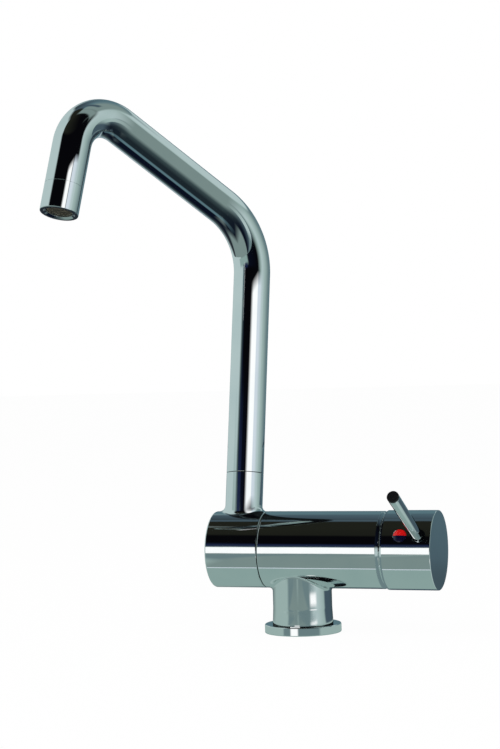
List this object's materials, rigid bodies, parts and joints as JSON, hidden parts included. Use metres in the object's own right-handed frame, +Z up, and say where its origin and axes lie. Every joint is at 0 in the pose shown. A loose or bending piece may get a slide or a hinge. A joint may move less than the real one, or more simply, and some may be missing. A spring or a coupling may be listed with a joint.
{
  "type": "fold-down kitchen mixer tap",
  "caption": "Kitchen mixer tap for a sink under a window: horizontal barrel on a short stem, bent swivel spout on a head that folds forward, and a pin lever on an end cap.",
  "frame": {"origin": "middle of the stem's and flange's underside, which rests on the worktop", "axes": "+X along the barrel towards the handle, -Y towards the user, +Z up from the worktop"},
  "size_m": [0.2172, 0.1494, 0.3337],
  "materials": {
    "chrome": "polished chrome plating",
    "brass": "turned",
    "rubber": "satin",
    "white_plastic": "satin",
    "dark_plastic": "satin",
    "red_plastic": "gloss",
    "blue_plastic": "gloss",
    "ceramic": "lapped",
    "steel": "brushed"
  },
  "bodies": {
    "tap_body": {"main_body": "chrome", "base_flange": "chrome", "base_seal": "rubber", "cartridge_base": "white_plastic", "cartridge_seals": "rubber", "fixed_ceramic_disc": "ceramic", "cartridge_housing": "white_plastic", "cartridge_nut": "brass", "dome_ring": "chrome", "pivot_spigot": "brass", "pivot_orings": "rubber", "thrust_washer": "white_plastic", "stop_pin": "steel", "retaining_washer": "steel", "retaining_screw": "steel"},
    "folding_head": {"swivel_head": "chrome", "head_end_cover": "chrome", "neck_glide_ring": "white_plastic", "spout_set_screw": "steel"},
    "spout": {"spout_tube": "chrome", "spout_spigot": "brass", "spout_orings": "rubber", "aerator_sleeve": "chrome", "aerator_insert": "dark_plastic", "aerator_screen": "steel", "aerator_washer": "rubber"},
    "temperature_rotor": {"cartridge_rotor": "white_plastic", "spindle_pivot_pin": "steel"},
    "disc_slider": {"moving_ceramic_disc": "ceramic", "disc_carrier": "white_plastic"},
    "handle": {"cartridge_spindle": "brass", "handle_cap": "chrome", "handle_set_screw": "steel", "lever_pin": "chrome", "lever_tip_plug": "dark_plastic", "index_plug_hot": "red_plastic", "index_plug_cold": "blue_plastic"}
  },
  "joints": [
    {"name": "head_fold", "type": "hinge", "parent": "tap_body", "child": "folding_head", "pos_m": [-0.039, 0, 0.0515], "axis": [1, 0, 0], "range_deg": [0, 100]},
    {"name": "spout_swing", "type": "hinge", "parent": "folding_head", "child": "spout", "pos_m": [-0.039, 0, 0.0515], "axis": [0, 0.1822, 0.9833], "range_deg": [-59, 121]},
    {"name": "handle_turn", "type": "hinge", "parent": "tap_body", "child": "temperature_rotor", "pos_m": [0.042, 0, 0.0515], "axis": [1, 0, 0], "range_deg": [-45, 45]},
    {"name": "handle_tilt", "type": "hinge", "parent": "temperature_rotor", "child": "handle", "pos_m": [0.042, 0, 0.0515], "axis": [0, 0.4384, 0.8988], "range_deg": [0, 18]},
    {"name": "disc_slide", "type": "slide", "parent": "temperature_rotor", "child": "disc_slider", "axis": [0, -0.8988, 0.4384], "range_m": [0, 0.0029]}
  ],
  "couplings": [
    {"joint": "disc_slide", "follows": "handle_tilt", "m_per_rad": 0.009}
  ]
}
